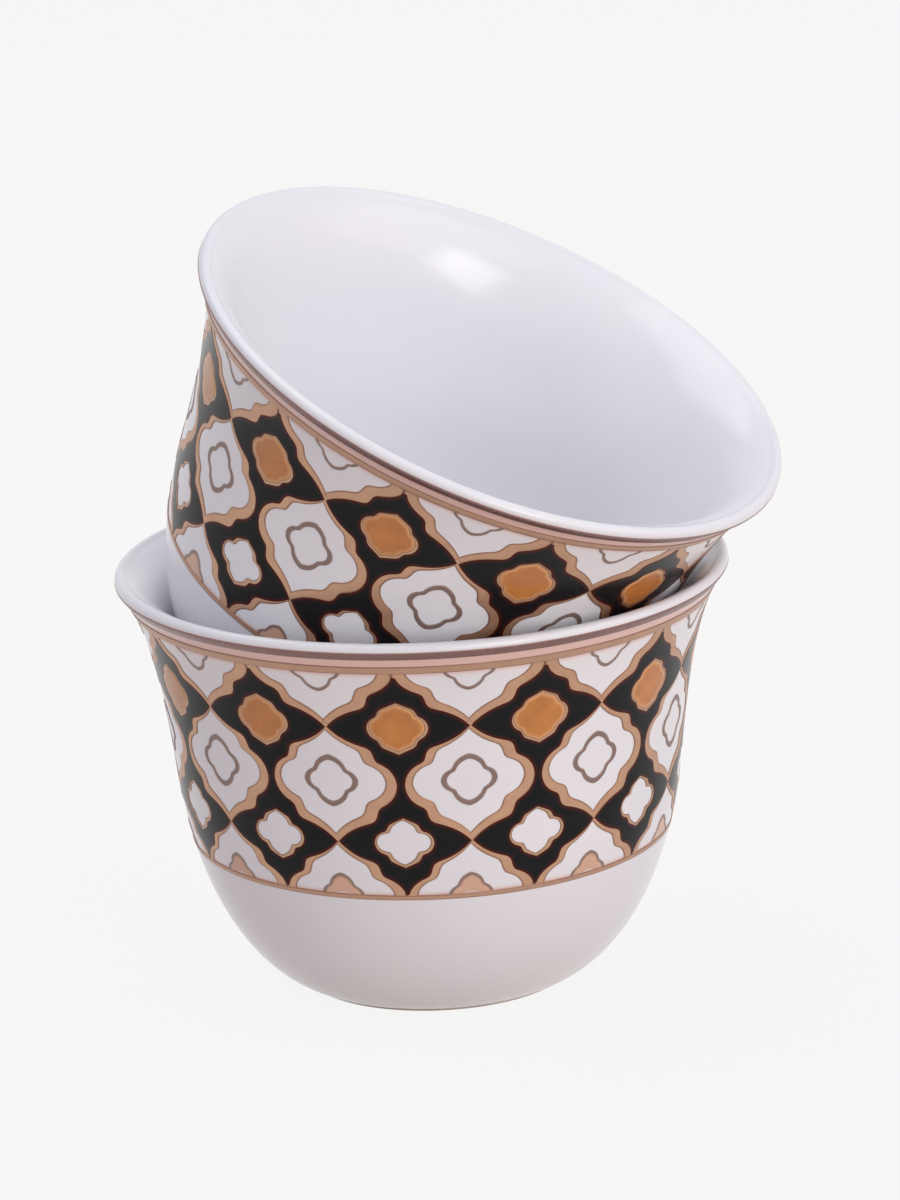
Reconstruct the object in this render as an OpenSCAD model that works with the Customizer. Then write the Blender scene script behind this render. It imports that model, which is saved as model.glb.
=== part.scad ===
// A pair of Arabic coffee cups of thin porcelain, without handles.
// One cup stands on its foot, and its twin leans in it, tipped to one side.
// Each cup is a fired body with a glaze coat, and over the glaze lie the
// fired colours: black enamel, amber enamel and gilding.
// Millimetres, Z up, the origin at the centre of the standing cup's foot.

/* [Cup] */
// Diameter over the flared rim
rim_d = 70; // [66:0.5:76]
// Height from the table to the top of the lip
cup_h = 49.2; // [47:0.1:52]
// Diameter at the waist, where the wall is steepest
waist_d = 57.8; // [55:0.1:60]
// Height of the waist above the table
waist_h = 25; // [23:0.5:27]
// Diameter where the belly meets the foot
foot_d = 32; // [29:0.5:35]
// Thickness of the wall under the lip, over the glaze
wall_t = 3.5; // [3:0.1:3.8]
// Thickness of the round lip, over the glaze
lip_t = 1.4; // [1.2:0.1:1.8]
// Thickness of the floor at its centre, over the glaze
floor_t = 3.4; // [3:0.1:4.4]

/* [Foot] */
// Width of the bare ring that the cup stands on
foot_land_w = 2.2; // [1.8:0.1:3]
// Depth of the recess under the base
foot_recess = 1.1; // [0.8:0.1:1.4]
// Height of the unglazed edge of the foot
foot_bare_h = 0.4; // [0.3:0.05:0.6]
// Slope of the foot's edges, inside and outside
foot_edge = 0.3; // [0.2:0.05:0.5]

/* [Layers] */
// Thickness of the glaze coat
glaze_t = 0.2; // [0.15:0.01:0.3]
// Thickness of the black and amber enamel
enamel_t = 0.08; // [0.06:0.01:0.12]
// Thickness of the gilding
gilt_t = 0.06; // [0.05:0.01:0.1]

/* [Painted band] */
// Height of the middle of the gilt line under the pattern
band_low_h = 17.7; // [16:0.1:19]
// Drop from the top of the lip to the middle of the gilt line on the lip
lip_line_drop = 1.4; // [1.25:0.05:1.7]
// Drop from there to the middle of the gilt line over the pattern
band_top_drop = 2.2; // [1.8:0.05:2.9]
// Width of the two gilt lines that bound the pattern
band_line_w = 0.55; // [0.4:0.05:0.8]
// Width of the gilt line on the lip
lip_line_w = 1; // [0.6:0.05:1.2]
// How many times the pattern repeats round the cup
repeats = 12; // [10:1:14]
// Width of the gilt outline round each white figure
outline_w = 0.7; // [0.4:0.05:0.9]
// Width of the small ring inside each white figure
ring_w = 0.55; // [0.4:0.05:0.7]
// Width of the gilt edge round each small medallion
medallion_edge_w = 0.3; // [0.25:0.05:0.4]

/* [Nesting] */
// Lean of the upper cup from the vertical, in degrees
lean = 26.7; // [24:0.1:29]
// Heading that the upper cup leans to, in degrees from +X
heading = -29.3; // [-180:0.1:180]
// Clearance between the two cups where they rest on each other
nest_gap = 0.25; // [0.2:0.01:0.35]
// Turn of the pattern on the standing cup, in degrees
lower_turn = -96.7; // [-180:0.1:180]
// Turn of the pattern on the leaning cup, in degrees
upper_turn = -104.7; // [-180:0.1:180]

/* [Hidden] */
CUPS = ["lower_cup", "upper_cup"];
LAYERS = ["body", "glaze", "black_enamel", "figure_outlines", "figure_rings", "amber_medallions",
          "medallion_edges", "lip_line", "band_top_line", "band_foot_line"];
$fn = 96;

// Steps along each curve of the section
belly_steps = 10;
wall_steps = 9;
lip_steps = 8;
bowl_steps = 12;

// Handles of the section's curves, as shares of the stretch that each one bends
foot_flat_share = 0.05;
belly_pull_share = 0.82;
waist_slope_share = 0.12;
wall_pull_share = 0.21;
flare_slope_share = 0.9;
flare_pull_share = 0.2;
bowl_pull_share = 0.42;
bowl_flat_share = 0.5;

// A white figure's outline in one quarter, from its top tip to its side: across in half
// repeats of the pattern, up in rows
figure_shares = [[0, 0.97], [0.27, 0.79], [0.58, 0.65], [0.58, 0.45], [0.78, 0.35], [0.91, 0.17],
                 [0.93, 0]];
// The same quarter of the half figures that the top and the foot of the band cut
half_figure_shares = [[0, 0.97], [0.27, 0.79], [0.58, 0.65], [0.58, 0.45], [0.78, 0.35], [0.92, 0.18],
                      [0.985, 0.08], [0.985, 0]];
// The blunt side tip of the black enamel, which stops short of the next one
black_tip_shares = [0.03, 0.952];
// A quarter of the small ring inside a white figure
ring_shares = [[0, 0.46], [0.17, 0.34], [0.31, 0.22], [0.375, 0]];
// A quarter of the small medallion in a black figure
medallion_shares = [[0, 0.43], [0.25, 0.31], [0.28, 0.19], [0.45, 0]];

// Section of the finished cup

rim_r = rim_d / 2;
waist_r = waist_d / 2;
foot_r = foot_d / 2;
lip_r = lip_t / 2;
lip_centre = [rim_r - lip_r, cup_h - lip_r];
flare_angle = -atan(flare_slope_share);
land_r = foot_r - foot_edge;
recess_mouth_r = land_r - foot_land_w;
recess_r = recess_mouth_r - foot_edge;

function reversed(list) = [for (i = [len(list) - 1 : -1 : 0]) list[i]];

function bezier(a, b, c, d, steps) =
    [for (i = [0 : steps]) let (t = i / steps, s = 1 - t)
        s * s * s * a + 3 * s * s * t * b + 3 * s * t * t * c + t * t * t * d];

// A list of points without its first one
function rest_of(list) = [for (i = [1 : len(list) - 1]) list[i]];

// Unit normal to the left of the way from a to b
function left_normal(a, b) = let (d = b - a) [-d.y, d.x] / norm(d);

// Normal at one point of an open path, drawn out so that the sides stay parallel
function path_normal(path, i) =
    let (before = left_normal(path[max(i - 1, 0)], path[max(i, 1)]),
         after = left_normal(path[min(i, len(path) - 2)], path[min(i + 1, len(path) - 1)]))
    (before + after) / (1 + before * after);

// The path that runs beside a given one, at a distance to its left
function beside(path, distance) =
    [for (i = [0 : len(path) - 1]) path[i] + distance * path_normal(path, i)];

foot_top = [foot_r, foot_bare_h];
waist = [waist_r, waist_h];
lip_start = lip_centre + lip_r * [cos(flare_angle), sin(flare_angle)];
belly_path = bezier(foot_top,
                    foot_top + [foot_flat_share * (waist_r - foot_r), 0],
                    waist - belly_pull_share * waist_h * [waist_slope_share, 1],
                    waist, belly_steps);
wall_h = lip_start.y - waist_h;
wall_path = bezier(waist,
                   waist + wall_pull_share * wall_h * [waist_slope_share, 1],
                   lip_start - flare_pull_share * wall_h * [flare_slope_share, 1],
                   lip_start, wall_steps);
lip_path = [for (i = [0 : lip_steps]) let (a = flare_angle + 180 * i / lip_steps)
    lip_centre + lip_r * [cos(a), sin(a)]];
// The wall keeps its thickness and thins to the lip near the top
thinning_power = 6;
function thickness_at(i) = wall_t + (lip_t - wall_t) * pow(i / wall_steps, thinning_power);
inner_wall_path = reversed([for (i = [0 : wall_steps])
    wall_path[i] + thickness_at(i) * path_normal(wall_path, i)]);
bowl_top = inner_wall_path[len(inner_wall_path) - 1];
bowl_path = bezier(bowl_top,
                   bowl_top - bowl_pull_share * waist_h * [waist_slope_share, 1],
                   [bowl_flat_share * waist_r, floor_t],
                   [0, floor_t], bowl_steps);

outer_path = concat(belly_path, rest_of(wall_path));
outside_path = concat(outer_path, [for (p = rest_of(lip_path)) if (p.x > lip_centre.x) p]);
glazed_path = concat(outer_path, rest_of(lip_path), rest_of(inner_wall_path), rest_of(bowl_path));
body_path = beside(glazed_path, glaze_t);
recess_path = [[0, foot_recess], [recess_r, foot_recess], [recess_mouth_r, foot_bare_h]];
body_recess_path = beside(recess_path, glaze_t);

// Radius of the outside at a height
outer_table = [for (p = outside_path) [p.y, p.x]];
function outer_radius(h) = lookup(h, outer_table);

// Pose of the leaning cup

// Radius of the inside at a height, up to the lip's centre
inner_table = [for (p = reversed(concat(inner_wall_path, rest_of(bowl_path)))) [p.y, p.x]];
inner_step = wall_h / wall_steps / 4;
function inner_radius(h) = lookup(h, inner_table);
function inner_slope(h) =
    (inner_radius(h + inner_step) - inner_radius(h - inner_step)) / (2 * inner_step);

// Gap from a point, at a distance from the axis and a height, to the standing cup's inside
function gap_inside(r, h) =
    h > lip_centre.y ? norm([lip_centre.x - r, h - lip_centre.y]) - lip_r
                     : (inner_radius(h) - r) / sqrt(1 + pow(inner_slope(h), 2));

// Points of the leaning cup's outside, in its own frame, tilted about the middle of its foot
probe_turns = 36;
probe_steps = 3;
probe_path = [for (i = [0 : len(outer_path) - 2], k = [0 : probe_steps - 1])
    outer_path[i] + k / probe_steps * (outer_path[i + 1] - outer_path[i])];
tilted_probes = [for (p = probe_path, j = [0 : probe_turns]) let (a = 180 * j / probe_turns)
    [p.x * cos(a) * cos(lean) + p.y * sin(lean),
     p.x * sin(a),
     p.y * cos(lean) - p.x * cos(a) * sin(lean)]];

// Smallest gap on the low side (side 1) or on the high side (side -1) of the leaning cup,
// with the middle of its foot at an offset along the lean and at a height
function side_gap(offset, h, side) =
    min([for (p = tilted_probes) let (x = p.x + offset, z = p.z + h)
        if (x * side > 0 && z < lip_centre.y + lip_r / 2 && z > floor_t)
            gap_inside(norm([x, p.y]), z)]);

// How fast the two gaps open as the cup moves across and up
across_rate = 1.4;
rise_rate = 1.2;
settle_steps = 16;
rest_gap = nest_gap + enamel_t;
function settled(offset, h, steps) =
    steps == 0 ? [offset, h]
               : let (o = offset + (rest_gap - side_gap(offset, h, -1)) / across_rate,
                      z = h + (rest_gap - side_gap(o, h, 1)) / rise_rate)
                 settled(o, z, steps - 1);
// The search starts from a cup that stands a third of its height up
start_offset_share = -0.35;
start_rise_share = 0.6;
seat = settled(start_offset_share * rim_r, start_rise_share * cup_h, settle_steps);

module leaning() {
    rotate([0, 0, heading])
        translate([seat.x, 0, seat.y])
            rotate([0, lean, 0])
                rotate([0, 0, -heading])
                    children();
}

// Places one cup: the first stands, the second leans in it
module cup_place(cup) {
    if (cup == CUPS[0]) children();
    else leaning() children();
}

function cup_turn(cup) = cup == CUPS[0] ? lower_turn : upper_turn;

// Porcelain and glaze

foot_outline = [[recess_mouth_r, foot_bare_h], [recess_mouth_r, 0], [land_r, 0], foot_top];
body_outline = concat(body_recess_path, foot_outline, body_path);

module porcelain_body() {
    color("snow")
        rotate_extrude()
            polygon(body_outline);
}

module glaze_coat() {
    color("white")
        rotate_extrude() {
            polygon(concat(glazed_path, reversed(body_path)));
            polygon(concat(recess_path, reversed(body_recess_path)));
        }
}

// Layers over the glaze

// The stretch of the outside between two heights, with a point at each end
function outer_stretch(low, high) =
    concat([[outer_radius(low), low]],
           [for (p = outside_path) if (p.y > low && p.y < high) p],
           [[outer_radius(high), high]]);

// A ring of even thickness on the outside, between two heights
module ring_on_wall(low, high, thickness) {
    wall = outer_stretch(low, high);
    rotate_extrude()
        polygon(concat(wall, reversed(beside(wall, -thickness))));
}

lip_line_h = cup_h - lip_line_drop;
band_high_h = lip_line_h - band_top_drop;
band_middle_h = (band_high_h + band_low_h) / 2;
half_repeat = 180 / repeats;
pattern_low = band_low_h + band_line_w / 2;
pattern_high = band_high_h - band_line_w / 2;
// Rows of figures from the band's middle to each of the lines that bound it
end_row = 2;
row_h = (band_high_h - band_middle_h) / end_row;
prism_low_r = foot_r;
prism_high_r = rim_r + enamel_t;

// Place on the flat of a figure: across in half repeats, up in rows from the band's middle
function on_flat(p) =
    let (h = band_middle_h + p.y * row_h)
    [outer_radius(h) * sin(half_repeat * p.x), h];

// A whole outline from its quarter, round the centre of a row
function whole(quarter, row) =
    let (n = len(quarter) - 1)
    [for (p = concat(quarter,
                     [for (i = [n - 1 : -1 : 0]) [quarter[i].x, -quarter[i].y]],
                     [for (i = [1 : n]) [-quarter[i].x, -quarter[i].y]],
                     [for (i = [n - 1 : -1 : 1]) [-quarter[i].x, quarter[i].y]]))
        on_flat([p.x, p.y + row])];

// A closed outline moved inwards by a distance, its points listed clockwise
function inset(outline, distance) =
    let (n = len(outline))
    [for (i = [0 : n - 1])
        let (before = left_normal(outline[(i + n - 1) % n], outline[i]),
             after = left_normal(outline[i], outline[(i + 1) % n]))
        outline[i] - distance * (before + after) / (1 + before * after)];

// Runs an outline straight out through the wall
module outline_prism() {
    rotate([90, 0, 90])
        translate([0, 0, prism_low_r])
            linear_extrude(height = prism_high_r - prism_low_r)
                children();
}

// Prints an outline on the wall once in each repeat, starting at a turn
module printed(turn, thickness) {
    for (i = [0 : repeats - 1])
        rotate([0, 0, turn + 360 * i / repeats])
            intersection() {
                ring_on_wall(pattern_low, pattern_high, thickness);
                outline_prism() children();
            }
}

// Right-hand side of a black column, from its top tip down to its bottom tip
black_figure = concat([black_tip_shares], rest_of(figure_shares));
black_half_figure = concat([black_tip_shares],
                           [for (i = [1 : len(half_figure_shares) - 3]) half_figure_shares[i]],
                           [[1, half_figure_shares[len(half_figure_shares) - 2].y]]);
black_side = concat([for (p = reversed(black_half_figure)) [1 - p.x, end_row - p.y]],
                    [for (p = black_figure) [1 - p.x, p.y]],
                    rest_of([for (p = reversed(black_figure)) [1 - p.x, -p.y]]),
                    [for (p = black_half_figure) [1 - p.x, p.y - end_row]]);
black_column = concat(black_side,
                      [for (i = [len(black_side) - 2 : -1 : 1]) [-black_side[i].x, black_side[i].y]]);

module black_enamel(turn) {
    color("black")
        printed(turn, enamel_t)
            difference() {
                polygon([for (p = black_column) on_flat(p)]);
                polygon(whole(medallion_shares, 1));
                polygon(whole(medallion_shares, -1));
            }
}

module outline_band(outline, width) {
    difference() {
        polygon(outline);
        polygon(inset(outline, width));
    }
}

module figure_outlines(turn) {
    color("peru") {
        printed(turn + half_repeat, gilt_t)
            outline_band(whole(figure_shares, 0), outline_w);
        for (row = [-end_row, end_row])
            printed(turn + half_repeat, gilt_t)
                outline_band(whole(half_figure_shares, row), outline_w);
    }
}

module figure_rings(turn) {
    color("rosybrown")
        for (row = [-end_row, 0, end_row])
            printed(turn + half_repeat, gilt_t)
                outline_band(whole(ring_shares, row), ring_w);
}

module amber_medallions(turn) {
    color("orange")
        printed(turn, enamel_t)
            polygon(inset(whole(medallion_shares, 1), medallion_edge_w));
}

module medallion_edges(turn) {
    color("tan")
        for (row = [-1, 1])
            printed(turn, gilt_t)
                outline_band(whole(medallion_shares, row), medallion_edge_w);
}

module gilt_line(middle, width) {
    color("goldenrod")
        ring_on_wall(middle - width / 2, middle + width / 2, gilt_t);
}

// One layer of one cup, in its place
module layer(cup, name) {
    turn = cup_turn(cup);
    cup_place(cup) {
        if (name == "body") porcelain_body();
        if (name == "glaze") glaze_coat();
        if (name == "black_enamel") black_enamel(turn);
        if (name == "figure_outlines") figure_outlines(turn);
        if (name == "figure_rings") figure_rings(turn);
        if (name == "amber_medallions") amber_medallions(turn);
        if (name == "medallion_edges") medallion_edges(turn);
        if (name == "lip_line") gilt_line(lip_line_h, lip_line_w);
        if (name == "band_top_line") gilt_line(band_high_h, band_line_w);
        if (name == "band_foot_line") gilt_line(band_low_h, band_line_w);
    }
}

for (cup = CUPS, name = LAYERS)
    layer(cup, name);
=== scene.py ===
"""Dresses a pair of handleless porcelain coffee cups, one standing and its twin leaning in it.

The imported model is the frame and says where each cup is. Each layer of a real cup is made here as
a smooth surface and takes the place of the plain solid of the same name: the fired porcelain, its
clear glaze, and the black, amber and gold that are printed over the glaze. Lengths in the classes
are millimetres, as in the part's source, and the meshes are written in metres.
"""

import logging
import math
from dataclasses import dataclass
from enum import Enum
from typing import Any

import bmesh
import bpy
import numpy as np
from mathutils import Matrix

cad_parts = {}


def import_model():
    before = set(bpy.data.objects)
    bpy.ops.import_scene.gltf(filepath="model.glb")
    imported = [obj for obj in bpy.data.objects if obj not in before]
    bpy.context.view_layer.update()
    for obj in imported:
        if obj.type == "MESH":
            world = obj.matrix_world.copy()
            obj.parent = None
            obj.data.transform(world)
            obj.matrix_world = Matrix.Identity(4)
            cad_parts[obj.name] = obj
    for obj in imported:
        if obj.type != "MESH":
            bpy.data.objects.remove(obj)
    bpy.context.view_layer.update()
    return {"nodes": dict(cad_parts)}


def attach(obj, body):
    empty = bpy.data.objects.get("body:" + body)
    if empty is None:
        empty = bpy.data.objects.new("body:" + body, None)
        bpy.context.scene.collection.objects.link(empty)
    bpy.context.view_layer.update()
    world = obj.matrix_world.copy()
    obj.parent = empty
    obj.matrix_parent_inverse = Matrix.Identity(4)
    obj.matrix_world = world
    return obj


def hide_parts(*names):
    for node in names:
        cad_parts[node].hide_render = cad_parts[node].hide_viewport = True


log = logging.getLogger("coffee_cups")

Array = np.ndarray
Point = tuple[float, float]
Tree = bpy.types.NodeTree
Socket = bpy.types.NodeSocket
Material = bpy.types.Material
Thing = bpy.types.Object

# A closed outline, and the points of it from which the step to the next is an edge
Rim = tuple[Array, Array | slice]

MM = 0.001
MERGE_MM = 0.0005

# Under these a turn between a ray and an outline, or the square of an outline's step, is none
NO_TURN = 1e-9
NO_STEP = 1e-12

# Name under which a mesh gives its finish a length, in millimetres, at each of its points
LENGTH = "length_mm"

# Numbers of the Mix node's colour inputs and of its colour output
MIX_A = 6
MIX_B = 7
MIX_RESULT = 2


class Cup(Enum):
    """The two cups, by the names of their bodies."""

    STANDING = "lower_cup"
    LEANING = "upper_cup"


# How far each cup is turned about its own axis, in degrees, as the print shows in the photograph
PRINT_TURN = {Cup.STANDING: -96.7, Cup.LEANING: -104.7}


def colour(hex_code: str) -> tuple[float, float, float, float]:
    """Turns an sRGB hex value into the linear colour that a shader socket takes.

    The curve and its numbers are those of the sRGB standard.

    Args:
        hex_code: The colour as #RRGGBB.

    Returns:
        Linear red, green and blue, and an alpha of one.
    """
    parts = np.array([int(hex_code[i:i + 2], 16) for i in (1, 3, 5)]) / 255
    linear = np.where(parts <= 0.04045, parts / 12.92, ((parts + 0.055) / 1.055) ** 2.4)
    return (*linear.tolist(), 1.0)


def bezier(steps: int, *handles: Point) -> Array:
    """Points along a Bezier curve: the sum of its handles, each weighted by its Bernstein share.

    Args:
        steps: Number of equal steps of the parameter.
        *handles: The curve's end points and what pulls it between them.

    Returns:
        An array of steps + 1 points.
    """
    degree = len(handles) - 1
    t = np.linspace(0, 1, steps + 1)[:, None]
    k = np.arange(degree + 1)
    counts = np.array([math.comb(degree, i) for i in k])
    return (counts * t**k * (1 - t) ** (degree - k)) @ np.array(handles, float)


def beside(path: Array, distance: float | Array) -> Array:
    """The path that runs beside a given one: each point goes a distance along its left normal.

    Args:
        path: Points of an open path in a plane.
        distance: How far to the left, the same for all points or a column with one for each.

    Returns:
        As many points, moved.
    """
    along = np.gradient(path, axis=0)
    normal = np.stack([-along[:, 1], along[:, 0]], 1) / np.linalg.norm(along, axis=1)[:, None]
    return path + distance * normal


def run_along(path: Array) -> Array:
    """Length of the path up to each of its points: the running sum of its steps."""
    return np.concatenate([[0], np.cumsum(np.linalg.norm(np.diff(path, axis=0), axis=1))])


@dataclass(frozen=True)
class CupSection:
    """The section of one cup, from the foot up the outside, over the lip and down the inside."""

    rim_d: float = 70.0
    cup_h: float = 49.2
    waist_d: float = 57.8
    waist_h: float = 25.0
    foot_d: float = 32.0
    wall_t: float = 3.5
    lip_t: float = 1.4
    floor_t: float = 3.4
    foot_land_w: float = 2.2
    foot_recess: float = 1.1
    foot_bare_h: float = 0.4
    foot_edge: float = 0.3
    glaze_t: float = 0.2
    foot_flat_share: float = 0.05
    belly_pull_share: float = 0.82
    waist_slope_share: float = 0.12
    wall_pull_share: float = 0.21
    flare_slope_share: float = 0.9
    flare_pull_share: float = 0.2
    bowl_pull_share: float = 0.42
    bowl_flat_share: float = 0.5
    thinning_power: float = 6.0
    curve_steps: int = 40
    lip_steps: int = 20
    foot_steps: int = 4

    @property
    def lip_centre(self) -> Array:
        """Centre of the round lip."""
        return np.array([self.rim_d / 2 - self.lip_t / 2, self.cup_h - self.lip_t / 2])

    @property
    def waist(self) -> Array:
        """The steepest point of the wall."""
        return np.array([self.waist_d / 2, self.waist_h])

    @property
    def waist_way(self) -> Array:
        """The way up the wall at the waist, a unit high."""
        return np.array([self.waist_slope_share, 1])

    def lip(self) -> Array:
        """Half a circle over the lip, from the outside to the inside.

        Returns:
            The arc's points.
        """
        start = -math.atan(self.flare_slope_share)
        a = np.linspace(start, start + math.pi, self.lip_steps + 1)
        return self.lip_centre + self.lip_t / 2 * np.stack([np.cos(a), np.sin(a)], 1)

    def wall(self) -> Array:
        """The outside from the waist to the lip, a cubic curve that opens as it rises.

        Returns:
            The curve's points.
        """
        end = self.lip()[0]
        rise = end[1] - self.waist_h
        lower = self.waist + self.wall_pull_share * rise * self.waist_way
        upper = end - self.flare_pull_share * rise * np.array([self.flare_slope_share, 1])
        return bezier(self.curve_steps, self.waist, lower, upper, end)

    def belly(self) -> Array:
        """The outside from the foot to the waist, a cubic curve that leaves the foot almost flat.

        Returns:
            The curve's points.
        """
        start = np.array([self.foot_d / 2, self.foot_bare_h])
        out = start + np.array([self.foot_flat_share * (self.waist_d - self.foot_d) / 2, 0])
        under = self.waist - self.belly_pull_share * self.waist_h * self.waist_way
        return bezier(self.curve_steps, start, out, under, self.waist)

    def outside(self) -> Array:
        """The whole outside, from the foot to the lip."""
        return np.concatenate([self.belly(), self.wall()[1:]])

    def printed_side(self) -> Array:
        """The outside with the outer half of the lip, up which the lip line runs."""
        lip = self.lip()[1:]
        return np.concatenate([self.outside(), lip[lip[:, 0] > self.lip_centre[0]]])

    def bowl(self) -> Array:
        """The inside from the lip to the middle of the floor.

        It is the wall moved in by its thickness, which a power of the way up thins to the lip, and
        then a cubic curve.

        Returns:
            The curve's points.
        """
        wall = self.wall()
        thinned = np.linspace(0, 1, len(wall)) ** self.thinning_power
        side = beside(wall, (self.wall_t + (self.lip_t - self.wall_t) * thinned)[:, None])[::-1]
        top = side[-1]
        under = top - self.bowl_pull_share * self.waist_h * self.waist_way
        flat = np.array([self.bowl_flat_share * self.waist_d / 2, self.floor_t])
        floor = bezier(self.curve_steps, top, under, flat, (0, self.floor_t))
        return np.concatenate([side, floor[1:]])

    def glazed(self) -> Array:
        """The glaze's surface, from the foot over the lip to the middle of the floor."""
        return np.concatenate([self.outside(), self.lip()[1:-1], self.bowl()])

    def glaze_bed(self) -> Array:
        """What the glaze lies on: its surface moved in by its thickness.

        Returns:
            As many points as the surface has.
        """
        bed = beside(self.glazed(), self.glaze_t)
        bed[-1] = (0, self.floor_t - self.glaze_t)
        return bed

    def glaze_shell(self) -> Array:
        """The glaze coat's section: the body's side of it, out from the floor, then its surface back."""
        return np.concatenate([self.glaze_bed()[::-1], self.glazed()])

    def recess(self) -> Array:
        """The hollow under the base, from its middle to the foot ring.

        Returns:
            Its three points.
        """
        mouth_r = self.foot_d / 2 - self.foot_edge - self.foot_land_w
        return np.array([[0, self.foot_recess], [mouth_r - self.foot_edge, self.foot_recess],
                         [mouth_r, self.foot_bare_h]])

    def recess_bed(self) -> Array:
        """What the glaze in the hollow lies on, which meets its surface's height at the foot ring."""
        return self.recess() + self.glaze_t * np.array([[0, 1], [0, 1], [0.5, 0]])

    def recess_shell(self) -> Array:
        """The section of the glaze in the hollow under the base."""
        return np.concatenate([self.recess(), self.recess_bed()[::-1]])

    def body(self) -> Array:
        """The porcelain's section: the hollow under the base, the foot ring, the outside, the inside.

        Returns:
            The section, from the axis to the axis.
        """
        inner_r = self.recess()[-1][0]
        outer_r = self.foot_d / 2 - self.foot_edge
        soft = self.foot_edge / 2
        inner_edge = bezier(self.foot_steps, (inner_r, self.foot_bare_h), (inner_r, 0),
                            (inner_r + soft, 0))
        outer_edge = bezier(self.foot_steps, (outer_r - soft, 0), (outer_r, 0),
                            (self.foot_d / 2, self.foot_bare_h))
        return np.concatenate([self.recess_bed(), inner_edge, outer_edge, self.glaze_bed()])

    def run_at(self, height: float) -> float:
        """How far along the glaze's surface, from the foot, the outside reaches a height."""
        side = self.printed_side()
        return float(np.interp(height, side[:, 1], run_along(side)))


@dataclass(frozen=True)
class CupPlace:
    """Where a cup stands: the middle of its foot, and the turn that takes +Z to its axis."""

    foot: Array
    turn: Array

    @classmethod
    def from_frame(cls, nodes: dict[str, Thing], cup: Cup, low_h: float,
                   high_h: float) -> "CupPlace":
        """Finds a cup in the frame from the planes of its two gilt rings.

        Args:
            nodes: The frame's nodes.
            cup: Which cup.
            low_h: Height of the ring under the pattern, on a standing cup.
            high_h: Height of the ring on the lip.

        Returns:
            The place, in millimetres.
        """
        low = ring_centre(nodes[f"{cup.value}_band_foot_line"])
        high = ring_centre(nodes[f"{cup.value}_lip_line"])
        axis = (high - low) / np.linalg.norm(high - low)
        foot = (low + high) / 2 - axis * (low_h + high_h) / 2
        return cls(foot, turn_from_z(axis))

    def put(self, points: Array) -> Array:
        """Takes points from the cup's own frame to the object's."""
        return points @ self.turn.T + self.foot


def ring_centre(node: Thing) -> Array:
    """Centre of a ring-shaped node: the middle of its box, turned to the ring's own plane.

    Args:
        node: A node of the frame.

    Returns:
        The centre, in millimetres.
    """
    points = np.zeros(len(node.data.vertices) * 3, np.float32)
    node.data.vertices.foreach_get("co", points)
    points = points.reshape(-1, 3).astype(float) / MM
    middle = points.mean(0)
    axes = np.linalg.svd(points - middle, full_matrices=False)[2]
    flat = (points - middle) @ axes.T
    return middle + ((flat.min(0) + flat.max(0)) / 2) @ axes


def turn_from_z(axis: Array) -> Array:
    """The shortest turn that takes +Z to an axis, as Rodrigues' formula gives it.

    Args:
        axis: A unit vector.

    Returns:
        A matrix of three rows and columns.
    """
    x, y, z = axis
    cross = np.array([[0, 0, x], [0, 0, y], [-x, -y, 0]])
    return np.eye(3) + cross + cross @ cross / (1 + z)


def add_node(tree: Tree, kind: str, inputs: dict[int | str, Any] | None = None,
             **settings: Any) -> bpy.types.Node:
    """Adds a node with its settings; an input that is a socket is linked, and any other is set.

    Args:
        tree: The node tree.
        kind: The node's type, without ShaderNode before it.
        inputs: Values or sockets by the input's name or number.
        **settings: The node's own properties.

    Returns:
        The new node.
    """
    node = tree.nodes.new("ShaderNode" + kind)
    for name, value in settings.items():
        setattr(node, name, value)
    for key, value in (inputs or {}).items():
        if isinstance(value, Socket):
            tree.links.new(value, node.inputs[key])
        else:
            node.inputs[key].default_value = value
    return node


def new_material(name: str) -> tuple[Material, Tree]:
    """A material with an empty node tree.

    Args:
        name: The material's name.

    Returns:
        The material and its tree.
    """
    material = bpy.data.materials.new(name)
    material.use_nodes = True
    material.node_tree.nodes.clear()
    return material, material.node_tree


def speckle(tree: Tree, grain: float, detail: float = 2.0, rough: float = 0.5) -> Socket:
    """Noise on Object coordinates whose patches are about a size in millimetres.

    Args:
        tree: The node tree.
        grain: Size of a patch, in millimetres.
        detail: Octaves of the noise.
        rough: How strong the finer octaves are.

    Returns:
        The socket with the noise's value.
    """
    place = add_node(tree, "TexCoord")
    noise = add_node(tree, "TexNoise",
                     {"Vector": place.outputs["Object"], "Scale": 1 / (grain * MM), "Detail": detail,
                      "Roughness": rough})
    return noise.outputs["Fac"]


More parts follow.
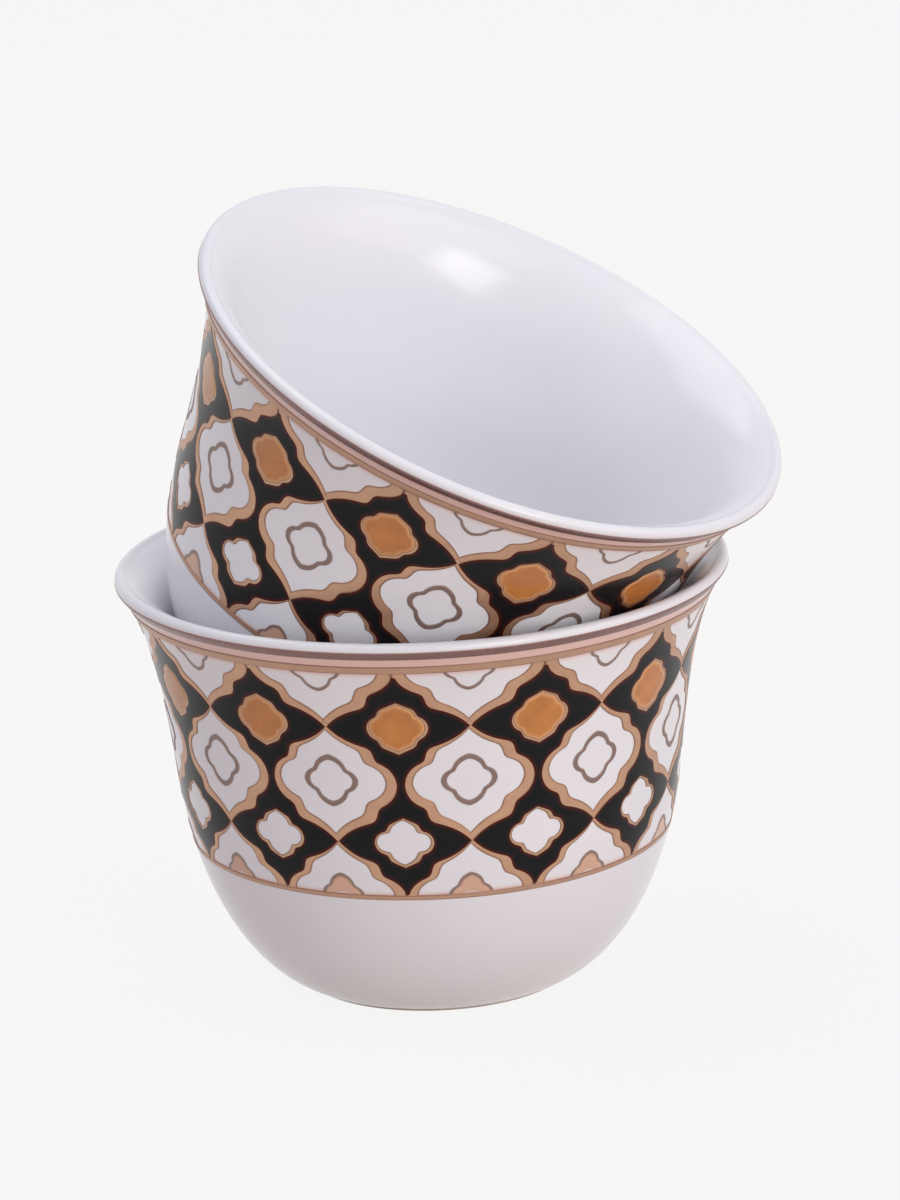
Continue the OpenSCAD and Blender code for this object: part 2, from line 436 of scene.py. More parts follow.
@dataclass(frozen=True, kw_only=True)
class Finish:
    """What every finish has: two tones in patches, a gloss, and a fine relief of a grain and a depth.

    A relief that is too fine to show in the render is drawn as coarse as it needs to show.
    """

    name: str
    tones: tuple[str, str]
    patch: float
    patch_detail: float = 2.0
    patch_rough: float = 0.5
    roughness: float
    grain: float
    grain_depth: float
    grain_strength: float

    def tinted(self, tree: Tree, tone: Socket) -> Socket:
        """The finish's colour, from its two tones as they lie in patches."""
        return tone

    def gloss(self, tree: Tree) -> dict[str, Any]:
        """What the shader takes besides its colour and its relief."""
        return {"Roughness": self.roughness}

    def material(self) -> Material:
        """Builds the finish.

        Returns:
            The material.
        """
        material, tree = new_material(self.name)
        tone = add_node(tree, "Mix",
                        {0: speckle(tree, self.patch, self.patch_detail, self.patch_rough),
                         MIX_A: colour(self.tones[0]), MIX_B: colour(self.tones[1])},
                        data_type="RGBA")
        relief = add_node(tree, "Bump",
                          {"Strength": self.grain_strength, "Distance": self.grain_depth * MM,
                           "Height": speckle(tree, self.grain)})
        shader = add_node(tree, "BsdfPrincipled",
                          {"Base Color": self.tinted(tree, tone.outputs[MIX_RESULT]),
                           "Normal": relief.outputs[0], **self.gloss(tree)})
        add_node(tree, "OutputMaterial", {"Surface": shader.outputs[0]})
        return material


@dataclass(frozen=True, kw_only=True)
class GlazedPorcelain(Finish):
    """Hard white porcelain under a clear feldspar glaze, fired together.

    The glaze melts to glass, so the eye gets a soft highlight on a surface that waves very
    slightly, a cool white, a pale pink between the lip's two lines, and a warm blush where the
    gold's fumes stain it over the line under the pattern. A run is a length along the section.
    """

    lip_run: float
    top_run: float
    foot_run: float
    name: str = "clear_glaze_on_porcelain"
    tones: tuple[str, str] = ("#EFEDEE", "#E7E7ED")
    patch: float = 14.0
    lip_band_pink: str = "#E6C3B9"
    lip_band_pink_w: float = 1.1
    blush: str = "#DDB3A0"
    blush_w: float = 1.0
    roughness: float = 0.2
    ior: float = 1.52
    grain: float = 7.0
    grain_depth: float = 0.1
    grain_strength: float = 0.35

    def tinted(self, tree: Tree, tone: Socket) -> Socket:
        """The white with its pale pink between the lip's lines and its blush, each fading in, and cut
        off under its line.

        Args:
            tree: The node tree.
            tone: The white.

        Returns:
            The socket with the colour.
        """
        run = add_node(tree, "Attribute", attribute_name=LENGTH).outputs["Fac"]
        for tint, clear, full, cut, side in (
                (self.lip_band_pink, self.top_run - self.lip_band_pink_w, self.top_run, self.lip_run, "LESS_THAN"),
                (self.blush, self.foot_run + self.blush_w, self.foot_run, self.foot_run,
                 "GREATER_THAN")):
            fade = add_node(tree, "MapRange", {"Value": run, "From Min": clear, "From Max": full},
                            interpolation_type="SMOOTHERSTEP")
            within = add_node(tree, "Math", {0: run, 1: cut}, operation=side)
            share = add_node(tree, "Math", {0: fade.outputs[0], 1: within.outputs[0]},
                             operation="MULTIPLY")
            tone = add_node(tree, "Mix",
                            {0: share.outputs[0], MIX_A: tone, MIX_B: colour(tint)},
                            data_type="RGBA").outputs[MIX_RESULT]
        return tone

    def gloss(self, tree: Tree) -> dict[str, Any]:
        """The gloss of glass."""
        return {"Roughness": self.roughness, "IOR": self.ior}


@dataclass(frozen=True, kw_only=True)
class BarePorcelain(Finish):
    """Vitrified porcelain left without glaze and rubbed smooth, so it is matte and a little grey."""

    name: str = "bare_porcelain"
    tones: tuple[str, str] = ("#DCD6CE", "#BDB4A8")
    patch: float = 3.0
    patch_detail: float = 4.0
    roughness: float = 0.62
    grain: float = 0.35
    grain_depth: float = 0.05
    grain_strength: float = 0.5


@dataclass(frozen=True, kw_only=True)
class PrintedFinish(Finish):
    """A layer printed over the glaze, whose colour changes at its edges, where less of it lies."""

    edge: str
    edge_w: float
    grain_depth: float = 0.02

    def tinted(self, tree: Tree, tone: Socket) -> Socket:
        """The two tones, with the edge's tone fading in over a width from each edge.

        Args:
            tree: The node tree.
            tone: The two tones in patches.

        Returns:
            The socket with the colour.
        """
        length = add_node(tree, "Attribute", attribute_name=LENGTH)
        rim = add_node(tree, "MapRange",
                       {"Value": length.outputs["Fac"], "From Min": 0.0, "From Max": self.edge_w,
                        "To Min": 1.0, "To Max": 0.0}, interpolation_type="SMOOTHSTEP")
        edged = add_node(tree, "Mix",
                         {0: rim.outputs[0], MIX_A: tone, MIX_B: colour(self.edge)},
                         data_type="RGBA")
        return edged.outputs[MIX_RESULT]


@dataclass(frozen=True, kw_only=True)
class FiredEnamel(PrintedFinish):
    """A coloured lead-free glass, printed over the glaze and melted on at a lower heat.

    It is a thin glossy layer whose colour clouds a little, and thins to another colour at its edge
    over the gold and the white.
    """

    specular: float = 0.3
    ior: float = 1.52
    patch: float = 2.5
    patch_detail: float = 3.0
    grain: float = 0.9
    grain_strength: float = 0.3

    def gloss(self, tree: Tree) -> dict[str, Any]:
        """The gloss of a thin glass."""
        return {"Roughness": self.roughness, "IOR": self.ior, "Specular IOR Level": self.specular}


@dataclass(frozen=True, kw_only=True)
class FiredGold(PrintedFinish):
    """Liquid gold painted on and fired, a film of real metal that is satin where it lies on enamel.

    The film is thick in the middle of a stroke and thin and brown at its edges. It is rubbed
    lighter in patches, and here burnished and there dulled.
    """

    metallic: float = 0.6
    roughness: float = 0.36
    burnished: float = 0.08
    dulled: float = 0.12
    rub: float = 0.6
    patch: float = 1.8
    patch_detail: float = 4.0
    patch_rough: float = 0.6
    grain: float = 0.5
    grain_strength: float = 0.4

    def gloss(self, tree: Tree) -> dict[str, Any]:
        """A metal's gloss, sharper where it is burnished.

        Args:
            tree: The node tree.

        Returns:
            The shader's inputs.
        """
        sheen = add_node(tree, "MapRange",
                         {"Value": speckle(tree, self.rub),
                          "To Min": self.roughness - self.burnished,
                          "To Max": self.roughness + self.dulled})
        return {"Metallic": self.metallic, "Roughness": sheen.outputs[0]}


BLACK = FiredEnamel(name="black_enamel_fired", tones=("#0F1413", "#1A161B"), edge="#4E1B0E",
                    edge_w=0.55, roughness=0.22, specular=0.12)
# The amber's light and dark patches and its lighter edge are partly the enamel's own clouding and partly
# painted sheen, standing for the gloss that lightens the medallions towards the light.
AMBER = FiredEnamel(name="amber_enamel_fired", tones=("#D68B3C", "#A96532"), edge="#DBA069",
                    edge_w=0.62, roughness=0.24, specular=0.5)
PEACH = FiredEnamel(name="peach_enamel_fired", tones=("#E0B89F", "#D3A88E"), edge="#C99A80",
                    edge_w=0.4, roughness=0.24)
OUTLINE_GOLD = FiredGold(name="gold_outline_fired", tones=("#D0A587", "#B58B6F"), edge="#8E6550",
                         edge_w=0.3)
MEDALLION_GOLD = FiredGold(name="gold_edge_fired", tones=("#C9A488", "#AF896C"), edge="#85604B",
                           edge_w=0.2)
RING_LUSTRE = FiredGold(name="grey_brown_lustre_fired", tones=("#8F7870", "#80685F"),
                        edge="#A08C84", edge_w=0.16, metallic=0.3, roughness=0.4)
LIP_GOLD = FiredGold(name="burnished_lip_gold", tones=("#8A6862", "#765450"), edge="#94736D",
                     edge_w=0.22, metallic=0.5, roughness=0.28)
BAND_GOLD = FiredGold(name="burnished_band_gold", tones=("#C49C82", "#AC846C"), edge="#90695A",
                      edge_w=0.2, metallic=0.45, roughness=0.32)


@dataclass(frozen=True)
class Sheet:
    """A grid of points, or several alike, with a length at each point for the finish to read."""

    points: Array
    lengths: Array
    closed_rows: bool = True
    closed_columns: bool = True

    def faces(self) -> Array:
        """Four-cornered faces between neighbouring points, one grid after another.

        Returns:
            An array of faces by their corners' numbers.
        """
        copies, rows, columns = self.points.shape[:3]
        i, j = np.meshgrid(np.arange(rows if self.closed_rows else rows - 1),
                           np.arange(columns if self.closed_columns else columns - 1),
                           indexing="ij")
        i_next, j_next = (i + 1) % rows, (j + 1) % columns
        quads = np.stack([i * columns + j, i * columns + j_next, i_next * columns + j_next,
                          i_next * columns + j], -1).reshape(-1, 4)
        starts = np.arange(copies)[:, None, None] * rows * columns
        return (quads[None] + starts).reshape(-1, 4)


def make_piece(name: str, sheets: list[Sheet], place: CupPlace, material: Material) -> Thing:
    """Makes one piece from its grids, with doubled points merged and its faces turned outwards.

    Args:
        name: The piece's name.
        sheets: Its grids, in the cup's own frame, in millimetres.
        place: Where the cup stands.
        material: The finish.

    Returns:
        The new object, at the origin and unturned.
    """
    counts = np.cumsum([0] + [s.points[..., 0].size for s in sheets])
    points = place.put(np.concatenate([s.points.reshape(-1, 3) for s in sheets])) * MM
    faces = np.concatenate([s.faces() + start for s, start in zip(sheets, counts)])
    lengths = np.concatenate([s.lengths.reshape(-1) for s in sheets])
    mesh = bpy.data.meshes.new(name)
    mesh.from_pydata(points.tolist(), [], faces.tolist())
    mesh.attributes.new(LENGTH, "FLOAT", "POINT").data.foreach_set("value", lengths)
    work = bmesh.new()
    work.from_mesh(mesh)
    bmesh.ops.remove_doubles(work, verts=work.verts, dist=MERGE_MM * MM)
    bmesh.ops.recalc_face_normals(work, faces=work.faces)
    work.to_mesh(mesh)
    work.free()
    mesh.polygons.foreach_set("use_smooth", np.ones(len(mesh.polygons), bool))
    mesh.materials.append(material)
    piece = bpy.data.objects.new(name, mesh)
    bpy.context.scene.collection.objects.link(piece)
    return piece


def revolve(profile: Array, lengths: Array | float = 0.0, segments: int = 240,
            looped: bool = False) -> Sheet:
    """A surface of revolution: each point (r, z) of the profile goes to (r cos a, r sin a, z).

    Args:
        profile: Points of the section, from the axis to the axis, or round a loop.
        lengths: What the finish reads at each point of the profile.
        segments: Steps round the axis.
        looped: Whether the section is a loop.

    Returns:
        The grid, closed round the axis.
    """
    a = np.linspace(0, 2 * math.pi, segments, endpoint=False)[:, None]
    r, z = profile[:, 0], profile[:, 1]
    points = np.stack([r * np.cos(a), r * np.sin(a), z + 0 * a], -1)
    return Sheet(points[None], np.broadcast_to(lengths, points.shape[:2])[None],
                 closed_columns=looped)


@dataclass(frozen=True)
class Quatrefoil:
    """A figure with four lobes, the same in each quarter, in millimetres on the flat print.

    From the top tip its side runs as a quadratic curve through the bend to the shoulder, steps down
    to the side lobe, and goes round that as part of an ellipse.
    """

    tip: float
    bend: Point
    shoulder: Point
    notch_x: float
    lobe_x: float
    lobe_h: float
    reach: float
    side_steps: int = 12
    lobe_points: int = 14
    notch_steps: int = 3
    softening: int = 3

    def quarter(self) -> Array:
        """The first quarter of the outline, from the side lobe up to the top tip.

        Its corners are eased: each point goes half way to the middle of its two neighbours, a few
        times over.

        Returns:
            The quarter's points.
        """
        side = bezier(self.side_steps, (0, self.tip), self.bend, self.shoulder)
        width = self.reach - self.lobe_x
        start = math.asin((self.notch_x - self.lobe_x) / width)
        a = np.linspace(start, math.pi / 2, self.lobe_points)
        lobe = np.stack([self.lobe_x + width * np.sin(a), self.lobe_h * np.cos(a)], 1)
        notch = bezier(self.notch_steps, self.shoulder, tuple(lobe[0]))
        path = np.concatenate([side, notch[1:-1], lobe])[::-1]
        for _ in range(self.softening):
            path[1:-1] = (path[:-2] + 2 * path[1:-1] + path[2:]) / 4
        return path

    def let_out(self, width: float) -> "Quatrefoil":
        """The figure let out by a width on every side.

        Args:
            width: How far each side moves outwards.

        Returns:
            The new figure, whose outline has as many points in the same order.
        """
        (bend_x, bend_y), (shoulder_x, shoulder_y) = self.bend, self.shoulder
        slope = math.atan2(bend_x, self.tip - bend_y)
        away = np.array([self.tip - shoulder_y, shoulder_x])
        away = width * away / np.linalg.norm(away)
        return Quatrefoil(self.tip + width / math.sin(slope), (bend_x + away[0], bend_y + away[1]),
                          (shoulder_x + width, shoulder_y + width), self.notch_x + width,
                          self.lobe_x, self.lobe_h + width, self.reach + width)

    def scaled(self, across: float, up: float) -> "Quatrefoil":
        """The figure stretched by two factors.

        Args:
            across: The factor across.
            up: The factor up.

        Returns:
            The new figure.
        """
        return Quatrefoil(up * self.tip, (across * self.bend[0], up * self.bend[1]),
                          (across * self.shoulder[0], up * self.shoulder[1]),
                          across * self.notch_x, across * self.lobe_x, up * self.lobe_h,
                          across * self.reach)

    def shrunk(self, width: float) -> "Quatrefoil":
        """The figure drawn in evenly towards its middle, by a width at its side lobe."""
        share = 1 - width / self.reach
        return self.scaled(share, share)

    def half(self, side: int) -> Array:
        """Half the outline: the upper from right to left, or the lower from left to right.

        Args:
            side: The upper half (1) or the lower (-1).

        Returns:
            The half's points.
        """
        quarter = self.quarter()
        upper = np.concatenate([quarter, (quarter * (-1, 1))[::-1][1:]])
        return side * upper

    def whole(self) -> Array:
        """The closed outline, counterclockwise, without its first point again at the end."""
        return np.concatenate([self.half(1)[:-1], self.half(-1)[:-1]])


class Figure(Enum):
    """The print's figures, in shares of half a repeat across and of a row up."""

    # A white figure with its gold, and the white that the gold leaves: it is thick at the steps
    WHOLE = Quatrefoil(1.0, (0.21, 0.72), (0.62, 0.635), 0.635, 0.55, 0.41, 0.94)
    WHOLE_WHITE = Quatrefoil(0.9, (0.17, 0.67), (0.465, 0.56), 0.495, 0.41, 0.34, 0.805)
    # The same where the line over or under the pattern cuts the figure in half: its lobes are wider
    HALF = Quatrefoil(1.0, (0.21, 0.72), (0.6, 0.635), 0.61, 0.45, 0.42, 0.985)
    HALF_WHITE = Quatrefoil(0.905, (0.17, 0.675), (0.455, 0.56), 0.49, 0.36, 0.34, 0.82)
    # The small ring, a rounded diamond with slight notches, and the smaller one in a half figure
    RING = Quatrefoil(0.455, (0.13, 0.43), (0.22, 0.295), 0.25, 0.19, 0.205, 0.41)
    HALF_RING = Quatrefoil(0.405, (0.11, 0.385), (0.185, 0.265), 0.21, 0.155, 0.185, 0.35)
    # The small medallions with their gold, and the little cross that the gold leaves of the white one
    AMBER = Quatrefoil(0.45, (0.11, 0.395), (0.24, 0.325), 0.278, 0.235, 0.21, 0.415)
    WHITE = Quatrefoil(0.42, (0.11, 0.375), (0.22, 0.305), 0.255, 0.26, 0.195, 0.43)
    CROSS = Quatrefoil(0.385, (0.1, 0.345), (0.172, 0.262), 0.202, 0.24, 0.16, 0.398)


@dataclass(frozen=True)
class Lattice:
    """The printed band: white four-lobed figures in rows, and black ones between them.

    On the flat print x runs round the cup from a black column's middle and y up from the band's
    middle. The colours are printed one after another, so the black lies a touch low and to the
    right of the gold: it covers the gold on one side of each figure and bares it on the other.
    A side of 1 is the upper row of black figures or the band's upper end, and -1 the lower.
    """

    section: CupSection
    turn_deg: float
    repeats: int = 12
    end_row: int = 2
    band_low_h: float = 17.7
    band_high_h: float = 45.6
    print_r: float = 29.5
    outline_under: float = 0.38
    ring_w: float = 0.68
    half_ring_w: float = 0.42
    ring_rise: float = 0.12
    edge_w: float = 0.3
    edge_under: float = 0.3
    edge_follow: float = 0.6
    row_overlap: float = 0.3
    ray_places: int = 5
    tip_gap: float = 0.55
    tip_end_share: float = 0.9
    black_slip: Point = (0.18, -0.15)
    gold_slip: Point = (0.0, 0.12)
    amber_cover_share: float = 0.75
    peach_cover_share: float = 0.9
    within_share: float = 0.999
    enamel_t: float = 0.08
    gold_t: float = 0.06
    wash_t: float = 0.04
    sunk: float = 0.03
    under_share: float = 0.85
    round_share: float = 0.5
    outline_shares: tuple[float, ...] = (0.06, 0.25, 0.5, 0.75, 0.94)
    ring_shares: tuple[float, ...] = (0.08, 0.3, 0.7, 0.92)
    edge_shares: tuple[float, ...] = (0.08, 0.5, 0.92)
    black_shares: tuple[float, ...] = (0.02, 0.06, 0.12, 0.22, 0.36, 0.5, 0.64, 0.78, 0.88, 0.94, 0.98)
    fill_shares: tuple[float, ...] = (0, 0.4, 0.8, 0.97, 1, 1, 0)
    fill_rise_shares: tuple[float, ...] = (1, 1, 1, 1, 0.5, 0, 0)

    @property
    def half(self) -> float:
        """Half a repeat, on the flat print."""
        return math.pi * self.print_r / self.repeats

    @property
    def row(self) -> float:
        """From one row of figures to the next, where the band ends a few rows from its middle."""
        return (self.band_high_h - self.band_low_h) / (2 * self.end_row)

    def shape(self, figure: Figure) -> Quatrefoil:
        """A figure at its size on the flat print."""
        return figure.value.scaled(self.half, self.row)

    def medallion(self, side: int) -> Quatrefoil:
        """The small medallion in a black figure: amber in the upper row, white in the lower."""
        return self.shape(Figure.AMBER if side == 1 else Figure.WHITE)

    def on_wall(self, flat: Array, lift: Array) -> Array:
        """Wraps the flat print on the cup: x becomes an angle, y a height, and the lift goes outwards.

        Args:
            flat: Points of the print, in the last axis.
            lift: Height over the glaze at each point.

        Returns:
            Points in the cup's own frame.
        """
        outside = self.section.printed_side()
        height = (self.band_low_h + self.band_high_h) / 2 + flat[..., 1]
        radius = np.interp(height, outside[:, 1], outside[:, 0])
        slope = np.interp(height, outside[:, 1], np.gradient(outside[:, 0], outside[:, 1]))
        angle = math.radians(self.turn_deg) + flat[..., 0] / self.print_r
        steep = 1 / np.sqrt(1 + slope**2)
        out = radius + lift * steep
        return np.stack([out * np.cos(angle), out * np.sin(angle), height - lift * slope * steep], -1)

    def repeat(self, flat: Array, lift: Array, edge: Array, closed_rows: bool = True,
               closed_columns: bool = True) -> Sheet:
        """Copies one shape of the print to every repeat, and wraps them all.

        Args:
            flat: Points of the shape on the flat print.
            lift: Height over the glaze at each point.
            edge: Distance of each point from the shape's edge, for the finish.
            closed_rows: Whether the shape's outline comes back to its start.
            closed_columns: Whether its section does.

        Returns:
            The grids, one for each repeat.
        """
        shifts = 2 * self.half * np.arange(self.repeats)[:, None, None, None] * np.array([1, 0])
        points = self.on_wall(flat[None] + shifts, lift)
        return Sheet(points, np.broadcast_to(edge, points.shape[:3]), closed_rows, closed_columns)

    def ribbon(self, outer: Array, inner: Array, centre: Point, thickness: float,
               shares: tuple[float, ...], closed: bool = True, rims: tuple[Rim, ...] = ()) -> Sheet:
        """A raised strip between two outlines that match point for point, one in each repeat.

        Across the strip a point is a weighted mean of the two outlines, and the strip's section is a
        loop: up from under the glaze, over with rounded edges, down and back.

        Args:
            outer: Points of the outer outline, about the figure's centre.
            inner: Points of the inner outline.
            centre: The figure's centre on the flat print.
            thickness: Height of the strip over the glaze.
            shares: Where the strip's top has points, from the outer outline (0) to the inner (1).
            closed: Whether the outlines come back to their start.
            rims: Edges to measure each point's distance from, where the way across isn't the
                shortest.

        Returns:
            The grid of the strips, with each point's distance from the nearer edge.
        """
        across = np.array([0, 0, *shares, 1, 1])
        side = [-self.sunk, self.round_share * thickness]
        rise = np.array([*side, *[thickness] * len(shares), *side[::-1]])
        flat = outer[:, None] + across[:, None] * (inner - outer)[:, None]
        width = np.linalg.norm(inner - outer, axis=1)[:, None]
        edge = np.minimum(across, 1 - across) * width
        if rims:
            edge = np.min([distance_to(flat, *rim) for rim in rims], 0)
        lift = np.broadcast_to(rise, edge.shape)
        if not closed:
            ends = flat[[0, -1]].mean(1, keepdims=True) + 0 * flat[[0, -1]]
            flat = np.concatenate([ends[:1], flat, ends[1:]])
            edge = np.concatenate([edge[:1], edge, edge[-1:]])
            buried = np.full_like(lift[:1], -self.sunk)
            lift = np.concatenate([buried, lift, buried])
        return self.repeat(flat + np.array(centre), lift, edge, closed)

    def fill(self, outline: Array, centre: Point, thickness: float) -> Sheet:
        """A thin closed layer inside an outline, its points on rays from the outline's middle.

        Args:
            outline: Points of the outline, about the figure's centre.
            centre: The figure's centre on the flat print.
            thickness: Height of the layer over the glaze.

        Returns:
            The grid of the layers, with each point's distance from the edge along its ray.
        """
        middle = outline.mean(0)
        rise = np.array(self.fill_rise_shares) * (thickness + self.sunk) - self.sunk
        across = np.array(self.fill_shares)
        flat = middle + across[:, None] * (outline - middle)[:, None]
        edge = (1 - across) * np.linalg.norm(outline - middle, axis=1)[:, None]
        edge[:, -1] = 0
        lift = np.broadcast_to(rise, edge.shape)
        return self.repeat(flat + np.array(centre), lift, edge, closed_columns=False)

    def gold_at(self, row: float) -> Point:
        """Middle of a white figure's gold in a row, on the flat print."""
        return (self.half + self.gold_slip[0], row * self.row + self.gold_slip[1])

    def medallion_at(self, side: int) -> Point:
        """Middle of a small medallion's gold and colour, which half follow the black's slip."""
        across, up = self.black_slip
        return (self.edge_follow * across, side * self.row + self.edge_follow * up)

    def halves(self, outer: Quatrefoil, inner: Quatrefoil, thickness: float,
               shares: tuple[float, ...]) -> list[Sheet]:
        """Strips of the figures that the band's two ends cut in half, held clear of their neighbours.

        Args:
            outer: The strip's outer outline.
            inner: Its inner outline.
            thickness: Height of the strip over the glaze.
            shares: Where its top has points.

        Returns:
            The grids of the lower end and the upper.
        """
        edge = self.within_share * self.half
        sheets = []
        for side in (-1, 1):
            cut = outer.half(-side)
            cut[:, 0] = np.clip(cut[:, 0], -edge, edge)
            sheets.append(self.ribbon(cut, inner.half(-side), self.gold_at(side * self.end_row),
                                      thickness, shares, closed=False))
        return sheets

    def outlines(self) -> list[Sheet]:
        """The gold outline of every white figure, whole in the middle row and halved at the ends.

        Returns:
            The grids of the whole figures and of the halves.
        """
        outer, half_outer = (self.shape(figure).let_out(self.outline_under)
                             for figure in (Figure.WHOLE, Figure.HALF))
        whole = self.ribbon(outer.whole(), self.shape(Figure.WHOLE_WHITE).whole(), self.gold_at(0),
                            self.gold_t, self.outline_shares)
        return [whole, *self.halves(half_outer, self.shape(Figure.HALF_WHITE),
                                    self.under_share * self.gold_t, self.outline_shares)]

    def rings(self) -> list[Sheet]:
        """The small ring in every white figure, which stands a little high in a whole one.

        Returns:
            The grids of the whole figures' rings and of the halves'.
        """
        ring, half_ring = self.shape(Figure.RING), self.shape(Figure.HALF_RING)
        across, up = self.gold_at(0)
        whole = self.ribbon(ring.whole(), ring.shrunk(self.ring_w).whole(),
                            (across, up + self.ring_rise), self.gold_t, self.ring_shares)
        return [whole, *self.halves(half_ring, half_ring.shrunk(self.half_ring_w), self.gold_t,
                                    self.ring_shares)]

    def medallion_edges(self) -> list[Sheet]:
        """The gold edge round every small medallion.

        Returns:
            The grids of the lower row and the upper.
        """
        windows = {-1: self.shape(Figure.CROSS), 1: self.medallion(1).shrunk(self.edge_w)}
        return [self.ribbon(self.medallion(side).let_out(self.edge_under).whole(), window.whole(),
                            self.medallion_at(side), self.gold_t, self.edge_shares)
                for side, window in windows.items()]

    def amber_fills(self) -> list[Sheet]:
        """The amber medallions of the upper row, which overlap the inner part of their gold edges."""
        amber = self.medallion(1).shrunk(self.amber_cover_share * self.edge_w)
        return [self.fill(amber.whole(), self.medallion_at(1), self.enamel_t)]

    def peach_fills(self) -> list[Sheet]:
        """The peach fill in the half rings that stand on the line under the pattern."""
        arch = self.shape(Figure.HALF_RING).shrunk(self.peach_cover_share * self.half_ring_w)
        return [self.fill(arch.half(1), self.gold_at(-self.end_row), self.wash_t)]

    def black_figures(self) -> list[Sheet]:
        """The black between the white figures, with a hole for each medallion.

        A quarter of a black figure is what a quarter of a white one leaves of its rectangle, so its
        outline is the white one's, turned by half a turn. Where the band ends, the black stops
        short of the line in a narrow tip. The two rows overlap a little at the band's middle.

        Returns:
            The grids of the lower row and the upper.
        """
        corner = np.array([self.half, self.row])
        plain = corner - self.shape(Figure.WHOLE).quarter()[::-1]
        plain = np.concatenate([plain, plain[-1:] + (0, self.row_overlap)])
        cut = self.shape(Figure.HALF).quarter()[::-1]
        tip = (self.half, self.tip_end_share * self.tip_gap)
        ended = corner - np.concatenate([cut[cut[:, 1] > self.tip_gap], [tip]])
        sheets = []
        for side in (-1, 1):
            up, down = (ended, plain) if side == 1 else (plain, ended)
            quarters = [up, (up * (-1, 1))[::-1], down * (-1, -1), (down * (1, -1))[::-1]]
            outline = np.concatenate(quarters)
            sheets.append(self.black_ribbon(outline, self.medallion(side).whole(), side))
        return sheets

    def black_ribbon(self, outline: Array, hole: Array, side: int) -> Sheet:
        """One row of black figures, its points on rays from the hole to the outline.

        Args:
            outline: The black figure's closed outline, about its centre.
            hole: The medallion's closed outline.
            side: The row, one over (1) or one under (-1) the band's middle.

        Returns:
            The grid, with each point's true distance from the black's edge.
        """
        rays = np.concatenate([ray_angles(outline), ray_angles(hole)])
        rays = np.unique(np.round(rays, self.ray_places))
        centre = (self.black_slip[0], side * self.row + self.black_slip[1])
        thickness = self.enamel_t * (1 if side == 1 else self.under_share)
        open_ends = np.abs(outline[:, 1]) > self.row + self.row_overlap / 2
        drawn = ~(open_ends & np.roll(open_ends, -1))
        return self.ribbon(on_rays(outline, rays), on_rays(hole, rays), centre, thickness,
                           self.black_shares, rims=((outline, drawn), (hole, slice(None))))


def ray_angles(outline: Array) -> Array:
    """Angle of each point of an outline as seen from the origin, from 0 to a full turn."""
    return np.arctan2(outline[:, 1], outline[:, 0]) % (2 * math.pi)


def on_rays(outline: Array, rays: Array) -> Array:
    """Where rays from the origin cross a closed outline that each ray crosses once.

    The reciprocal of the distance changes evenly with the tangent along a straight step, so each
    crossing is solved exactly from the two points of the step that the ray passes between.

    Args:
        outline: Points of the outline.
        rays: Angles of the rays, rising.

    Returns:
        One point for each ray.
    """
    angles = ray_angles(outline)
    order = np.argsort(angles, kind="stable")
    angles, points = angles[order], outline[order]
    after = np.searchsorted(angles, rays, side="left") % len(points)
    a, b = points[after - 1], points[after]
    ray = np.stack([np.cos(rays), np.sin(rays)], 1)
    step = b - a
    turned = ray[:, 0] * step[:, 1] - ray[:, 1] * step[:, 0]
    crossed = a[:, 0] * step[:, 1] - a[:, 1] * step[:, 0]
    on_point = np.abs(turned) < NO_TURN
    reach = np.where(on_point, np.linalg.norm(b, axis=1), crossed / np.where(on_point, 1, turned))
    return ray * reach[:, None]


def distance_to(points: Array, outline: Array, drawn: Array | slice) -> Array:
    """Distance from each point to the nearest drawn step of a closed outline.

    Each point is dropped on every step, held between the step's ends, and the least distance kept.

    Args:
        points: The points, in the last axis.
        outline: The outline's points.
        drawn: The points of it from which the step to the next counts.

    Returns:
        A distance for each point.
    """
    start, step = outline[drawn], (np.roll(outline, -1, 0) - outline)[drawn]
    length = np.maximum((step**2).sum(1), NO_STEP)
    away = points[..., None, :] - start
    share = np.clip((away * step).sum(-1) / length, 0, 1)
    return np.linalg.norm(away - share[..., None] * step, axis=-1).min(-1)


